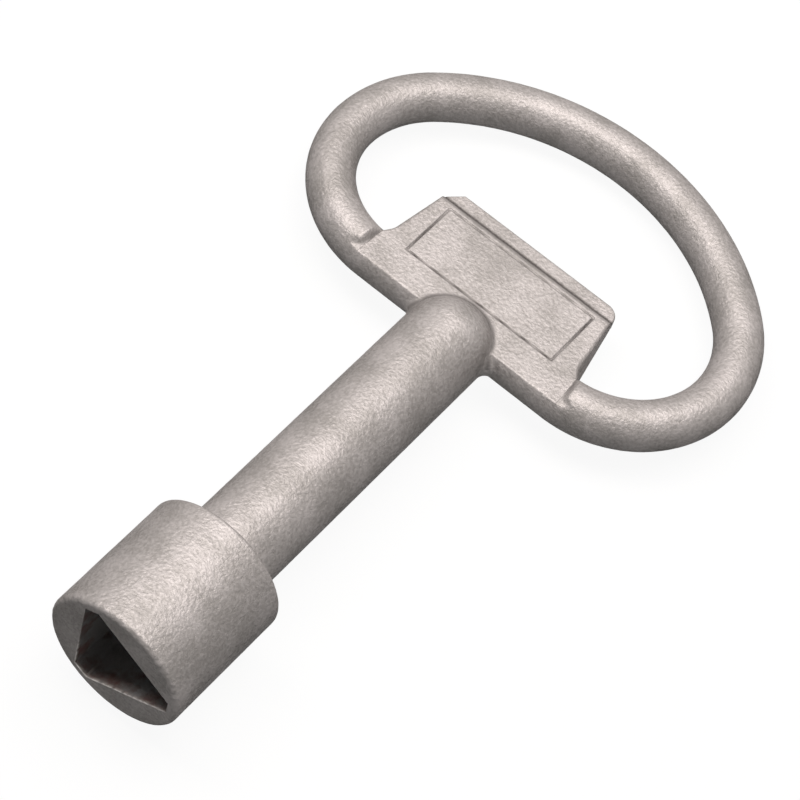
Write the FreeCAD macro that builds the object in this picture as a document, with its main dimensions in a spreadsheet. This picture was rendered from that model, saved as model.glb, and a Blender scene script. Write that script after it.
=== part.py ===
import FreeCAD, Part
import math
import os
import Sketcher

# A cast key with a triangular socket, a round shank and an oval finger ring.
# Origin: centre of the socket mouth.  +Y runs along the shank to the ring,
# +X along the width of the ring, +Z out of the ring's flat side.

doc = FreeCAD.newDocument("bleed_key")
V = FreeCAD.Vector

# ---------------------------------------------------------------- sizes (mm)
SIZES = [
    ("overall_length", 100.0, "mouth of the socket to the top of the ring"),
    ("overall_width", 62.0, "outside of the ring"),
    ("ring_height", 40.8, "outside of the ring, along the shank"),
    ("rod_diameter", 6.2, "round rod of the ring"),
    ("low_radius", 13.9, "centreline radius of the ring's lower corners"),
    ("top_ratio", 1.1685, "radius of the ring's top as a share of its half width"),
    ("step_turn", 3.7, "degrees of the lower corner that belong to the web"),
    ("head_diameter", 18.0, "socket head"),
    ("head_length", 17.3, "socket head"),
    ("mouth_round", 0.65, "rounding of the head's front edge"),
    ("shoulder_round", 0.5, "rounding of the head's rear edge"),
    ("shank_diameter", 11.3, "round shank"),
    ("dome_drop", 3.8, "centre of the shank's round end below the bar's centreline"),
    ("shank_flare", 0.6, "concave radius where the shank leaves the head"),
    ("flat_radius", 4.65, "triangle: centre to each flat"),
    ("corner_radius", 7.6, "triangle: centre to each cut corner"),
    ("socket_depth", 15.0, "triangular socket"),
    ("plate_thickness", 4.2, "flat plate across the lower bar"),
    ("plate_height", 12.2, "plate, from the bar's centreline to its upper edge"),
    ("plate_low_half", 13.95, "half width of the plate at its foot"),
    ("foot_height", 3.6, "where the plate's straight side starts, above the bar's centreline"),
    ("plate_top_half", 12.85, "half width of the plate at its top"),
    ("lip_thickness", 1.9, "thin lip above the plate"),
    ("lip_height", 2.3, "how far the lip stands above the plate"),
    ("lip_corner", 2.0, "rounded corners of the lip"),
    ("blend_size", 0.7, "sloping blend from the shank to the bar and plate"),
    ("border_half", 11.05, "engraved border, half width"),
    ("border_rise", 2.3, "engraved border, lower line above the bar's centreline"),
    ("border_height", 8.5, "engraved border, lower line to upper line"),
    ("border_line", 0.3, "engraved border, width of the line"),
    ("border_depth", 0.25, "engraved border, depth of the line"),
    ("edge_round", 0.4, "rounding of the plate's upper edges"),
]

sheet = doc.addObject("Spreadsheet::Sheet", "sizes")
for row, (alias, value, note) in enumerate(SIZES, start=1):
    sheet.set("A%d" % row, alias)
    sheet.set("B%d" % row, str(value))
    sheet.set("C%d" % row, note)
    sheet.setAlias("B%d" % row, alias)
doc.recompute()


def size(alias):
    """The present value of one size in the sheet."""
    return float(sheet.get(alias))


def plane_of(body, role):
    """One of a body's own origin planes or axes, found by its role."""
    return next(f for f in body.Origin.OriginFeatures if f.Role == role)


def new_body(label):
    """An empty body whose label is the name of its part file."""
    body = doc.addObject("PartDesign::Body", "body_" + label)
    body.Label = label
    body.Placement = FreeCAD.Placement()
    return body


def new_sketch(body, label, role="XY_Plane"):
    """A sketch on one of the body's origin planes."""
    sketch = body.newObject("Sketcher::SketchObject", label)
    sketch.AttachmentSupport = (plane_of(body, role), [""])
    sketch.MapMode = "FlatFace"
    return sketch


def tie(sketch, index, alias_expression, name):
    """Name a dimension of a sketch and drive it from the sheet."""
    sketch.renameConstraint(index, name)
    sketch.setExpression("Constraints." + name, alias_expression)


def pin(sketch, line, end, x_expression, y_expression, name):
    """Drive both coordinates of one end of a line from the sheet.

    A coordinate below zero is given by the length of its distance, so the
    drawn side of each axis is kept."""
    point = sketch.getPoint(line, end)
    for axis, value, expression in (("X", point.x, x_expression), ("Y", point.y, y_expression)):
        if expression is None:
            continue
        index = sketch.addConstraint(
            Sketcher.Constraint("Distance" + axis, -1, 1, line, end, value))
        tie(sketch, index, expression, name + axis)


def closed_outline(sketch, points):
    """A closed chain of straight lines through the points."""
    count = len(points)
    for i in range(count):
        a = points[i]
        b = points[(i + 1) % count]
        sketch.addGeometry(Part.LineSegment(V(a[0], a[1], 0), V(b[0], b[1], 0)), False)
    for i in range(count):
        sketch.addConstraint(Sketcher.Constraint("Coincident", i, 2, (i + 1) % count, 1))


def driven_outline(sketch, corners):
    """A closed outline whose corners are (x, x expression, y, y expression)."""
    closed_outline(sketch, [(c[0], c[2]) for c in corners])
    for i, corner in enumerate(corners):
        pin(sketch, i, 1, corner[1], corner[3], "corner%d" % i)


# Lengths worked out from the sheet: as numbers, which draw the sketches, and
# as expressions, which drive them.
S = "<<sizes>>."
ROD = size("rod_diameter") / 2
BAR_Y = size("overall_length") - size("ring_height") + ROD
HALF_WIDTH = size("overall_width") / 2 - ROD
LOW_RADIUS = size("low_radius")
WIDEST_Y = BAR_Y + LOW_RADIUS
BAR_HALF = HALF_WIDTH - LOW_RADIUS
DOME_Y = BAR_Y - size("dome_drop")
TOP_Y = size("overall_length") - ROD
TOP_RADIUS = HALF_WIDTH * size("top_ratio")
TOP_CENTRE = TOP_Y - TOP_RADIUS
RISE = WIDEST_Y - TOP_CENTRE
UP_RADIUS = (TOP_RADIUS ** 2 - HALF_WIDTH ** 2 - RISE ** 2) / (2 * (TOP_RADIUS - HALF_WIDTH))
UP_X = HALF_WIDTH - UP_RADIUS
TOP_TURN = math.atan2(UP_X, RISE)
STEP = math.radians(size("step_turn"))
STEP_X = BAR_HALF + LOW_RADIUS * math.sin(STEP)
STEP_Y = WIDEST_Y - LOW_RADIUS * math.cos(STEP)

BAR_Y_OF = "(%soverall_length - %sring_height + %srod_diameter / 2)" % (S, S, S)
HALF_WIDTH_OF = "((%soverall_width - %srod_diameter) / 2)" % (S, S)
LOW_RADIUS_OF = S + "low_radius"
WIDEST_Y_OF = "(%s + %slow_radius)" % (BAR_Y_OF, S)
BAR_HALF_OF = "(%s - %slow_radius)" % (HALF_WIDTH_OF, S)
DOME_Y_OF = "(%s - %sdome_drop)" % (BAR_Y_OF, S)
TOP_Y_OF = "(%soverall_length - %srod_diameter / 2)" % (S, S)
TOP_RADIUS_OF = "(%s * %stop_ratio)" % (HALF_WIDTH_OF, S)
STEP_X_OF = "(%s + %slow_radius * sin(%sstep_turn * 1 deg))" % (BAR_HALF_OF, S, S)
STEP_Y_OF = "(%s - %slow_radius * cos(%sstep_turn * 1 deg))" % (WIDEST_Y_OF, S, S)


def half_profile(body, label, start_y, start_of, flared):
    """Half section of the shank from start_y to its round end, on the X side."""
    radius = size("shank_diameter") / 2
    dome = DOME_Y
    flare = size("shank_flare") if flared else 0.0
    sketch = new_sketch(body, label)
    sketch.addGeometry(Part.LineSegment(V(0, start_y, 0), V(radius + flare, start_y, 0)), False)
    sketch.addGeometry(Part.LineSegment(V(radius, start_y + flare, 0), V(radius, dome, 0)), False)
    sketch.addGeometry(
        Part.ArcOfCircle(Part.Circle(V(0, dome, 0), V(0, 0, 1), radius), 0, math.pi / 2), False)
    sketch.addGeometry(Part.LineSegment(V(0, dome + radius, 0), V(0, start_y, 0)), False)
    sketch.addConstraint(Sketcher.Constraint("Coincident", 1, 2, 2, 1))
    sketch.addConstraint(Sketcher.Constraint("Coincident", 2, 2, 3, 1))
    sketch.addConstraint(Sketcher.Constraint("Coincident", 3, 2, 0, 1))
    sketch.addConstraint(Sketcher.Constraint("Horizontal", 0))
    sketch.addConstraint(Sketcher.Constraint("Vertical", 1))
    sketch.addConstraint(Sketcher.Constraint("PointOnObject", 0, 1, -2))
    sketch.addConstraint(Sketcher.Constraint("PointOnObject", 2, 3, -2))
    sketch.addConstraint(Sketcher.Constraint("PointOnObject", 3, 1, -2))
    sketch.addConstraint(Sketcher.Constraint("Horizontal", 1, 2, 2, 3))
    if flared:
        centre = V(radius + flare, start_y + flare, 0)
        arc = Part.ArcOfCircle(Part.Circle(centre, V(0, 0, 1), flare), math.pi, 1.5 * math.pi)
        sketch.addGeometry(arc, False)
        sketch.addConstraint(Sketcher.Constraint("Coincident", 4, 1, 1, 1))
        sketch.addConstraint(Sketcher.Constraint("Coincident", 4, 2, 0, 2))
        sketch.addConstraint(Sketcher.Constraint("Horizontal", 4, 3, 1, 1))
        index = sketch.addConstraint(Sketcher.Constraint("Radius", 4, flare))
        tie(sketch, index, S + "shank_flare", "flare")
        sketch.addConstraint(Sketcher.Constraint("Vertical", 4, 3, 0, 2))
    else:
        sketch.addConstraint(Sketcher.Constraint("Coincident", 0, 2, 1, 1))
    pin(sketch, 0, 1, None, start_of, "start")
    pin(sketch, 1, 2, S + "shank_diameter / 2", DOME_Y_OF, "dome")
    return sketch


def revolved(body, kind, label, sketch):
    """A full turn of a sketch about the shank's axis."""
    feature = body.newObject("PartDesign::" + kind, label)
    feature.Profile = sketch
    feature.ReferenceAxis = (sketch, ["V_Axis"])
    feature.Angle = 360.0
    sketch.Visibility = False
    doc.recompute()
    return feature


def mirrored(body, label, originals):
    """The same features again on the other side of the YZ plane."""
    feature = body.newObject("PartDesign::Mirrored", label)
    feature.Originals = originals
    feature.MirrorPlane = (plane_of(body, "YZ_Plane"), [""])
    body.Tip = feature
    doc.recompute()
    return feature


# ------------------------------------------------------------- socket_head
# Thick round head with a triangular socket, its three corners cut off.
head = new_body("socket_head")
head_half = size("head_diameter") / 2
head_sketch = new_sketch(head, "head_section")
driven_outline(head_sketch, [
    (0, None, 0, None),
    (head_half, S + "head_diameter / 2", 0, None),
    (head_half, S + "head_diameter / 2", size("head_length"), S + "head_length"),
    (0, None, size("head_length"), S + "head_length"),
])
head_sketch.addConstraint(Sketcher.Constraint("Coincident", 0, 1, -1, 1))
head_sketch.addConstraint(Sketcher.Constraint("Horizontal", 0))
head_sketch.addConstraint(Sketcher.Constraint("Vertical", 3))
head_turned = revolved(head, "Revolution", "head_turned", head_sketch)


def circle_edges(shape, radius, y):
    """Names of the round edges of one radius about the shank's axis at one height."""
    names = []
    for i, edge in enumerate(shape.Edges, start=1):
        curve = edge.Curve
        if not isinstance(curve, Part.Circle):
            continue
        if abs(curve.Radius - radius) > 1e-3 or abs(curve.Center.y - y) > 1e-3:
            continue
        names.append("Edge%d" % i)
    return names


mouth_edge = head.newObject("PartDesign::Fillet", "mouth_edge")
mouth_edge.Base = (head_turned, circle_edges(head_turned.Shape, head_half, 0.0))
mouth_edge.setExpression("Radius", S + "mouth_round")
doc.recompute()
shoulder_edge = head.newObject("PartDesign::Fillet", "shoulder_edge")
shoulder_names = circle_edges(mouth_edge.Shape, head_half, size("head_length"))
shoulder_edge.Base = (mouth_edge, shoulder_names)
shoulder_edge.setExpression("Radius", S + "shoulder_round")
doc.recompute()

# The triangle: each side is a flat at flat_radius, each corner a short flat at
# corner_radius.  One side is parallel to Z, on -X.
flat = size("flat_radius")
corner = size("corner_radius")
half_corner = (2 * flat - corner) * math.tan(math.pi / 6)
CORNER_OF = S + "corner_radius"
HALF_CORNER_OF = "(2 * %sflat_radius - %scorner_radius) * tan(30 deg)" % (S, S)
triangle = []
triangle_of = []
for turn in (0, 120, 240):
    for side in (-1, 1):
        c = math.cos(math.radians(turn))
        s = math.sin(math.radians(turn))
        triangle.append((corner * c - side * half_corner * s, corner * s + side * half_corner * c))
        x_of = "%s * cos(%d deg) - %d * %s * sin(%d deg)" % (CORNER_OF, turn, side, HALF_CORNER_OF, turn)
        y_of = "%s * sin(%d deg) + %d * %s * cos(%d deg)" % (CORNER_OF, turn, side, HALF_CORNER_OF, turn)
        triangle_of.append((x_of, y_of))
tri_sketch = new_sketch(head, "triangle", "XZ_Plane")
closed_outline(tri_sketch, triangle)
for i, (x_of, y_of) in enumerate(triangle_of):
    pin(tri_sketch, i, 1, x_of, y_of, "corner%d" % i)
socket = head.newObject("PartDesign::Pocket", "triangular_socket")
socket.Profile = tri_sketch
socket.setExpression("Length", S + "socket_depth")
tri_sketch.Visibility = False
doc.recompute()

# ------------------------------------------------------------------- shank
# Round bar from the head's rear face to its domed end on the plate.
shank = new_body("shank")
shank_sketch = half_profile(
    shank, "shank_section", size("head_length"), S + "head_length", True)
revolved(shank, "Revolution", "shank_turned", shank_sketch)

# --------------------------------------------------------------------- bow
# Round rod bent to an oval.  One half runs from the middle of the top to the
# step beside the plate, and the other half mirrors it.
bow = new_body("bow")
bow_path = new_sketch(bow, "bow_path")
top_centre = V(0, TOP_CENTRE, 0)
up_centre = V(UP_X, WIDEST_Y, 0)
low_centre = V(BAR_HALF, WIDEST_Y, 0)
top_end = math.pi / 2 - TOP_TURN
bow_path.addGeometry(Part.ArcOfCircle(
    Part.Circle(top_centre, V(0, 0, 1), TOP_RADIUS), top_end, math.pi / 2), False)
bow_path.addGeometry(Part.ArcOfCircle(
    Part.Circle(up_centre, V(0, 0, 1), UP_RADIUS), 0, top_end), False)
bow_path.addGeometry(Part.ArcOfCircle(
    Part.Circle(low_centre, V(0, 0, 1), LOW_RADIUS), STEP - math.pi / 2, 0), False)
bow_path.addConstraint(Sketcher.Constraint("PointOnObject", 0, 2, -2))
bow_path.addConstraint(Sketcher.Constraint("PointOnObject", 0, 3, -2))
bow_path.addConstraint(Sketcher.Constraint("Tangent", 0, 1, 1, 2))
bow_path.addConstraint(Sketcher.Constraint("Tangent", 1, 1, 2, 2))
bow_path.addConstraint(Sketcher.Constraint("Horizontal", 1, 3, 1, 1))
index = bow_path.addConstraint(Sketcher.Constraint("Radius", 0, TOP_RADIUS))
tie(bow_path, index, TOP_RADIUS_OF, "top")
pin(bow_path, 0, 2, None, TOP_Y_OF, "summit")
pin(bow_path, 1, 1, HALF_WIDTH_OF, WIDEST_Y_OF, "widest")
pin(bow_path, 2, 1, STEP_X_OF, None, "step")
index = bow_path.addConstraint(Sketcher.Constraint("Radius", 2, LOW_RADIUS))
tie(bow_path, index, LOW_RADIUS_OF, "low")
bow_rod = new_sketch(bow, "bow_rod", "YZ_Plane")
bow_rod.addGeometry(Part.Circle(V(TOP_Y, 0, 0), V(0, 0, 1), ROD), False)
bow_rod.addConstraint(Sketcher.Constraint("PointOnObject", 0, 3, -1))
index = bow_rod.addConstraint(Sketcher.Constraint("Diameter", 0, 2 * ROD))
tie(bow_rod, index, S + "rod_diameter", "rod")
index = bow_rod.addConstraint(Sketcher.Constraint("DistanceX", -1, 1, 0, 3, TOP_Y))
tie(bow_rod, index, TOP_Y_OF, "summit")
doc.recompute()
bow_half = bow.newObject("PartDesign::AdditivePipe", "bow_half")
bow_half.Profile = bow_rod
bow_half.Spine = (bow_path, [])
doc.recompute()
mirrored(bow, "bow_mirrored", [bow_half])

# --------------------------------------------------------------- web_plate
# The ring's lower bar with its two flats, the flat plate that stands on it,
# the thin lip above the plate, and the blend to the shank.
web = new_body("web_plate")
half_thick = size("plate_thickness") / 2
flat_reach = math.sqrt(ROD ** 2 - half_thick ** 2)
bar_path = new_sketch(web, "bar_path")
bar_path.addGeometry(
    Part.LineSegment(V(0, BAR_Y, 0), V(BAR_HALF, BAR_Y, 0)), False)
bar_path.addGeometry(Part.ArcOfCircle(
    Part.Circle(low_centre, V(0, 0, 1), LOW_RADIUS), -math.pi / 2, STEP - math.pi / 2), False)
bar_path.addConstraint(Sketcher.Constraint("Tangent", 0, 2, 1, 1))
bar_path.addConstraint(Sketcher.Constraint("PointOnObject", 0, 1, -2))
bar_path.addConstraint(Sketcher.Constraint("Horizontal", 0))
pin(bar_path, 0, 2, BAR_HALF_OF, BAR_Y_OF, "bend")
pin(bar_path, 1, 2, STEP_X_OF, None, "step")
index = bar_path.addConstraint(Sketcher.Constraint("Radius", 1, LOW_RADIUS))
tie(bar_path, index, LOW_RADIUS_OF, "low")
bar_rod = new_sketch(web, "bar_rod", "YZ_Plane")
reach_turn = math.asin(half_thick / ROD)
bar_rod.addGeometry(Part.ArcOfCircle(
    Part.Circle(V(BAR_Y, 0, 0), V(0, 0, 1), ROD), -reach_turn, reach_turn), False)
bar_rod.addGeometry(Part.LineSegment(
    V(BAR_Y + flat_reach, half_thick, 0), V(BAR_Y - flat_reach, half_thick, 0)), False)
bar_rod.addGeometry(Part.ArcOfCircle(
    Part.Circle(V(BAR_Y, 0, 0), V(0, 0, 1), ROD), math.pi - reach_turn, math.pi + reach_turn), False)
bar_rod.addGeometry(Part.LineSegment(
    V(BAR_Y - flat_reach, -half_thick, 0), V(BAR_Y + flat_reach, -half_thick, 0)), False)
for i in range(4):
    bar_rod.addConstraint(Sketcher.Constraint("Coincident", i, 2, (i + 1) % 4, 1))
bar_rod.addConstraint(Sketcher.Constraint("Horizontal", 1))
bar_rod.addConstraint(Sketcher.Constraint("Horizontal", 3))
bar_rod.addConstraint(Sketcher.Constraint("Coincident", 0, 3, 2, 3))
bar_rod.addConstraint(Sketcher.Constraint("PointOnObject", 0, 3, -1))
bar_rod.addConstraint(Sketcher.Constraint("Equal", 0, 2))
index = bar_rod.addConstraint(Sketcher.Constraint("Radius", 0, ROD))
tie(bar_rod, index, S + "rod_diameter / 2", "rod")
index = bar_rod.addConstraint(Sketcher.Constraint("DistanceX", -1, 1, 0, 3, BAR_Y))
tie(bar_rod, index, BAR_Y_OF, "barLevel")
index = bar_rod.addConstraint(Sketcher.Constraint("DistanceY", -1, 1, 1, 1, half_thick))
tie(bar_rod, index, S + "plate_thickness / 2", "upper")
index = bar_rod.addConstraint(Sketcher.Constraint("DistanceY", 3, 1, -1, 1, half_thick))
tie(bar_rod, index, S + "plate_thickness / 2", "lower")
doc.recompute()
bar_half = web.newObject("PartDesign::AdditivePipe", "bar_half")
bar_half.Profile = bar_rod
bar_half.Spine = (bar_path, [])
doc.recompute()
mirrored(web, "bar_mirrored", [bar_half])


def two_sided(body, label, sketch, alias):
    """A pad of a sheet thickness, half to each side of the sketch."""
    pad = body.newObject("PartDesign::Pad", label)
    pad.Profile = sketch
    pad.Midplane = True
    pad.setExpression("Length", S + alias)
    sketch.Visibility = False
    doc.recompute()
    return pad


# The foot of the plate flares out to the step, just inside the rod's skin.
foot_x = STEP_X - flat_reach * math.sin(STEP)
foot_y = STEP_Y + flat_reach * math.cos(STEP)
FLAT_OF = "sqrt((%srod_diameter / 2) ^ 2 - (%splate_thickness / 2) ^ 2)" % (S, S)
FOOT_X_OF = "%s - %s * sin(%sstep_turn * 1 deg)" % (STEP_X_OF, FLAT_OF, S)
FOOT_Y_OF = "%s + %s * cos(%sstep_turn * 1 deg)" % (STEP_Y_OF, FLAT_OF, S)
low_half = size("plate_low_half")
top_half = size("plate_top_half")
top_y = BAR_Y + size("plate_height")
side_y = BAR_Y + size("foot_height")
SIDE_Y_OF = "%s + %sfoot_height" % (BAR_Y_OF, S)
TOP_EDGE_OF = "%s + %splate_height" % (BAR_Y_OF, S)
plate_sketch = new_sketch(web, "plate_outline")
right_side = [
    (foot_x, FOOT_X_OF, BAR_Y, BAR_Y_OF),
    (foot_x, FOOT_X_OF, foot_y, FOOT_Y_OF),
    (low_half, S + "plate_low_half", side_y, SIDE_Y_OF),
    (top_half, S + "plate_top_half", top_y, TOP_EDGE_OF),
]
left_side = [(-x, "-(" + x_of + ")", y, y_of) for x, x_of, y, y_of in reversed(right_side)]
driven_outline(plate_sketch, right_side + left_side)
plate = two_sided(web, "plate", plate_sketch, "plate_thickness")

lip_sketch = new_sketch(web, "lip_outline")
lip_top = top_y + size("lip_height")
LIP_TOP_OF = "%s + %slip_height" % (TOP_EDGE_OF, S)
lip_r = size("lip_corner")
lip_sketch.addGeometry(
    Part.LineSegment(V(-top_half, BAR_Y, 0), V(top_half, BAR_Y, 0)), False)
lip_sketch.addGeometry(
    Part.LineSegment(V(top_half, BAR_Y, 0), V(top_half, lip_top - lip_r, 0)), False)
lip_sketch.addGeometry(Part.ArcOfCircle(
    Part.Circle(V(top_half - lip_r, lip_top - lip_r, 0), V(0, 0, 1), lip_r), 0, math.pi / 2), False)
lip_sketch.addGeometry(
    Part.LineSegment(V(top_half - lip_r, lip_top, 0), V(lip_r - top_half, lip_top, 0)), False)
lip_sketch.addGeometry(Part.ArcOfCircle(
    Part.Circle(V(lip_r - top_half, lip_top - lip_r, 0), V(0, 0, 1), lip_r),
    math.pi / 2, math.pi), False)
lip_sketch.addGeometry(
    Part.LineSegment(V(-top_half, lip_top - lip_r, 0), V(-top_half, BAR_Y, 0)), False)
lip_sketch.addConstraint(Sketcher.Constraint("Coincident", 0, 2, 1, 1))
lip_sketch.addConstraint(Sketcher.Constraint("Tangent", 1, 2, 2, 1))
lip_sketch.addConstraint(Sketcher.Constraint("Tangent", 2, 2, 3, 1))
lip_sketch.addConstraint(Sketcher.Constraint("Tangent", 3, 2, 4, 1))
lip_sketch.addConstraint(Sketcher.Constraint("Tangent", 4, 2, 5, 1))
lip_sketch.addConstraint(Sketcher.Constraint("Coincident", 5, 2, 0, 1))
lip_sketch.addConstraint(Sketcher.Constraint("Vertical", 1))
lip_sketch.addConstraint(Sketcher.Constraint("Vertical", 5))
lip_sketch.addConstraint(Sketcher.Constraint("Horizontal", 3))
lip_sketch.addConstraint(Sketcher.Constraint("Equal", 2, 4))
index = lip_sketch.addConstraint(Sketcher.Constraint("Radius", 2, lip_r))
tie(lip_sketch, index, S + "lip_corner", "corner")
pin(lip_sketch, 0, 1, "-" + S + "plate_top_half", BAR_Y_OF, "left")
pin(lip_sketch, 0, 2, S + "plate_top_half", BAR_Y_OF, "right")
pin(lip_sketch, 3, 1, None, LIP_TOP_OF, "top")
lip = two_sided(web, "lip", lip_sketch, "lip_thickness")

# The shank's round end is added, blended and taken away again: what stays is
# the blend, and a seat that fits the shank.
shank_radius = size("shank_diameter") / 2
stub_start = BAR_Y - 2.5 * ROD
STUB_START_OF = "%s - 1.25 * %srod_diameter" % (BAR_Y_OF, S)
stub_sketch = half_profile(
    web, "stub_section", stub_start, STUB_START_OF, False)
stub = revolved(web, "Revolution", "stub", stub_sketch)


def on_shank(point):
    """True where a point lies on the skin of the shank or of its round end."""
    along = max(point.y - DOME_Y, 0.0)
    return abs(math.sqrt(point.x ** 2 + point.z ** 2 + along ** 2) - shank_radius) < 1e-3


def blend_edges(shape):
    """Names of the edges in which the shank meets the bar and the plate."""
    names = []
    for i, edge in enumerate(shape.Edges, start=1):
        first, last = edge.ParameterRange
        points = [edge.valueAt(first + (last - first) * k / 4.0) for k in range(5)]
        if not all(on_shank(p) for p in points):
            continue
        if max(abs(p.z) for p in points) > ROD + 1e-3:
            continue
        if min(p.y for p in points) < stub_start + 1e-3:
            continue
        if max(p.y for p in points) - min(p.y for p in points) < 1e-6:
            continue
        names.append("Edge%d" % i)
    return names


blend = web.newObject("PartDesign::Chamfer", "blend")
blend.Base = (stub, blend_edges(stub.Shape))
blend.setExpression("Size", S + "blend_size")
doc.recompute()
seat_sketch = half_profile(
    web, "seat_section", stub_start, STUB_START_OF, False)
seat = revolved(web, "Groove", "seat", seat_sketch)

# Engraved border on the front: the line between two rectangles
border_sketch = new_sketch(web, "border_outline")
line = size("border_line")
for offset, offset_of in ((0.0, "0 * " + S + "border_line"), (line, S + "border_line")):
    first = border_sketch.GeometryCount
    x = size("border_half") - offset
    y_low = BAR_Y + size("border_rise") + offset
    y_high = BAR_Y + size("border_rise") + size("border_height") - offset
    rectangle = [(-x, y_low), (x, y_low), (x, y_high), (-x, y_high)]
    for i in range(4):
        a = rectangle[i]
        b = rectangle[(i + 1) % 4]
        border_sketch.addGeometry(Part.LineSegment(V(a[0], a[1], 0), V(b[0], b[1], 0)), False)
    for i in range(4):
        border_sketch.addConstraint(
            Sketcher.Constraint("Coincident", first + i, 2, first + (i + 1) % 4, 1))
    for i, kind in enumerate(("Horizontal", "Vertical", "Horizontal", "Vertical")):
        border_sketch.addConstraint(Sketcher.Constraint(kind, first + i))
    x_of = "%sborder_half - %s" % (S, offset_of)
    low_of = "%s + %sborder_rise + %s" % (BAR_Y_OF, S, offset_of)
    high_of = "%s + %sborder_rise + %sborder_height - %s" % (BAR_Y_OF, S, S, offset_of)
    pin(border_sketch, first, 1, "-(" + x_of + ")", low_of, "lowCorner%d" % first)
    pin(border_sketch, first + 1, 2, x_of, high_of, "highCorner%d" % first)
border_sketch.setExpression(
    "AttachmentOffset.Base.z", S + "plate_thickness / 2 - " + S + "border_depth")
border = web.newObject("PartDesign::Pocket", "border")
border.Profile = border_sketch
border.Reversed = True
border.Length = half_thick
border_sketch.Visibility = False
doc.recompute()

# Rounded upper edges of the thick plate
upper_edges = []
for i, edge in enumerate(border.Shape.Edges, start=1):
    ends = [v.Point for v in edge.Vertexes]
    if len(ends) != 2:
        continue
    if all(abs(p.y - top_y) < 1e-3 and abs(abs(p.z) - half_thick) < 1e-3 for p in ends):
        upper_edges.append("Edge%d" % i)
edges = web.newObject("PartDesign::Fillet", "plate_edges")
edges.Base = (border, upper_edges)
edges.setExpression("Radius", S + "edge_round")
web.Tip = edges
doc.recompute()

# ------------------------------------------------------------------- write
for thing in doc.Objects:
    if "Invalid" in thing.State or "Error" in thing.State:
        raise RuntimeError("not recomputed: " + thing.Name)
os.makedirs("parts", exist_ok=True)
for body in (head, shank, bow, web):
    shape = body.Shape
    if shape.isNull() or not shape.isValid() or len(shape.Solids) != 1:
        raise RuntimeError("bad shape: " + body.Label)
    shape.exportStep("parts/" + body.Label + ".step")
    print(body.Label, round(shape.Volume, 2))
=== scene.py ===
import math

import bmesh
import bpy
import numpy as np
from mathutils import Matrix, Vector


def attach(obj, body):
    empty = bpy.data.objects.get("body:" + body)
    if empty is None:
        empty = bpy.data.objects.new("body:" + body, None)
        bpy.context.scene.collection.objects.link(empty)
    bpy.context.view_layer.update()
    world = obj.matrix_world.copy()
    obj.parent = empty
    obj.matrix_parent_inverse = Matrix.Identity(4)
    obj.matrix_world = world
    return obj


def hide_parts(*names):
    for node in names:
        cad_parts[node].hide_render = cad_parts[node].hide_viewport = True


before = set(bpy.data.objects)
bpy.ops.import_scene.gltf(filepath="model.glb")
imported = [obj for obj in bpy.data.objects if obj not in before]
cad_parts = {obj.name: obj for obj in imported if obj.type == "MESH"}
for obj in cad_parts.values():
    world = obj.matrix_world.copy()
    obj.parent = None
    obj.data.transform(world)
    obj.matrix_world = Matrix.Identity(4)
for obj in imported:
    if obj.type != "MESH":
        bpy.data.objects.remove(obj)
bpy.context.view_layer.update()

MM = 0.001

# ------------------------------------------------------------- socket head
# Thick round end of the casting.  Its triangular socket, corners cut off, is
# cored in the mould: its walls keep their scale, with brown rust at the mouth.
HEAD_R = 9.0
HEAD_LENGTH = 17.3
MOUTH_ROUND = 0.65
SHOULDER_ROUND = 0.5
FLAT_R = 4.65
CORNER_R = 7.6
SOCKET_DEPTH = 15.0
BORE_DRAFT = 0.015
HOLE_EDGE = 0.14
CHIP_DEPTH = 0.011
SHANK_R = 5.65
FLARE = 0.6
walls = [(math.radians(60 * i), CORNER_R if i % 2 == 0 else FLAT_R) for i in range(6)]


def wall_corner(a, b):
    """Where two neighbouring walls of the socket meet."""
    (p, reach), (q, other) = a, b
    x = (reach * math.sin(q) - other * math.sin(p)) / math.sin(q - p)
    z = (other * math.cos(p) - reach * math.cos(q)) / math.sin(q - p)
    return math.atan2(z, x) % (2 * math.pi)


corners = [wall_corner(walls[i - 1], walls[i]) for i in range(6)]
turns = np.unique(np.concatenate([np.linspace(0, 2 * math.pi, 420, endpoint=False), corners]))


def socket_outline(grow, y):
    """The cut triangle at depth y, every wall moved out by grow."""
    reach = np.min([np.where(np.cos(turns - way) > 0.05,
                             (far + grow) / np.cos(turns - way).clip(0.05, 1), 99.0)
                    for way, far in walls], axis=0)
    return np.stack([reach * np.cos(turns), np.full_like(turns, y), reach * np.sin(turns)], -1)


def ring(radius, y):
    """A round loop about the shank's axis."""
    return np.stack([radius * np.cos(turns), y + 0 * turns, radius * np.sin(turns)], -1)


chance = np.random.default_rng(7)
chipped = sum(chance.normal() * np.cos(k * turns + chance.uniform(0, 6.3)) for k in range(9, 60))
mouth_round = MOUTH_ROUND + CHIP_DEPTH * chipped * (0.5 + np.sin(turns)).clip(0, 1)
shoulder_radii = np.linspace(5.2, 8.2, 11)
head_loops = [ring(radius, HEAD_LENGTH) for radius in shoulder_radii]
for a in np.linspace(0, math.pi / 2, 7):
    head_loops.append(ring(HEAD_R - SHOULDER_ROUND * (1 - math.sin(a)),
                           HEAD_LENGTH - SHOULDER_ROUND * (1 - math.cos(a))))
for t in np.linspace(0, 1, 76)[1:-1]:
    head_loops.append(ring(HEAD_R, HEAD_LENGTH - SHOULDER_ROUND
                           + (mouth_round - HEAD_LENGTH + SHOULDER_ROUND) * t))
for a in np.linspace(0, math.pi / 2, 9):
    head_loops.append(ring(HEAD_R - mouth_round * (1 - math.cos(a)),
                           mouth_round * (1 - math.sin(a))))
outer = head_loops[-1]
inner = socket_outline(HOLE_EDGE, 0.0)
for t in np.linspace(0, 1, 16)[1:]:
    head_loops.append(outer + (inner - outer) * t)
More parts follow.
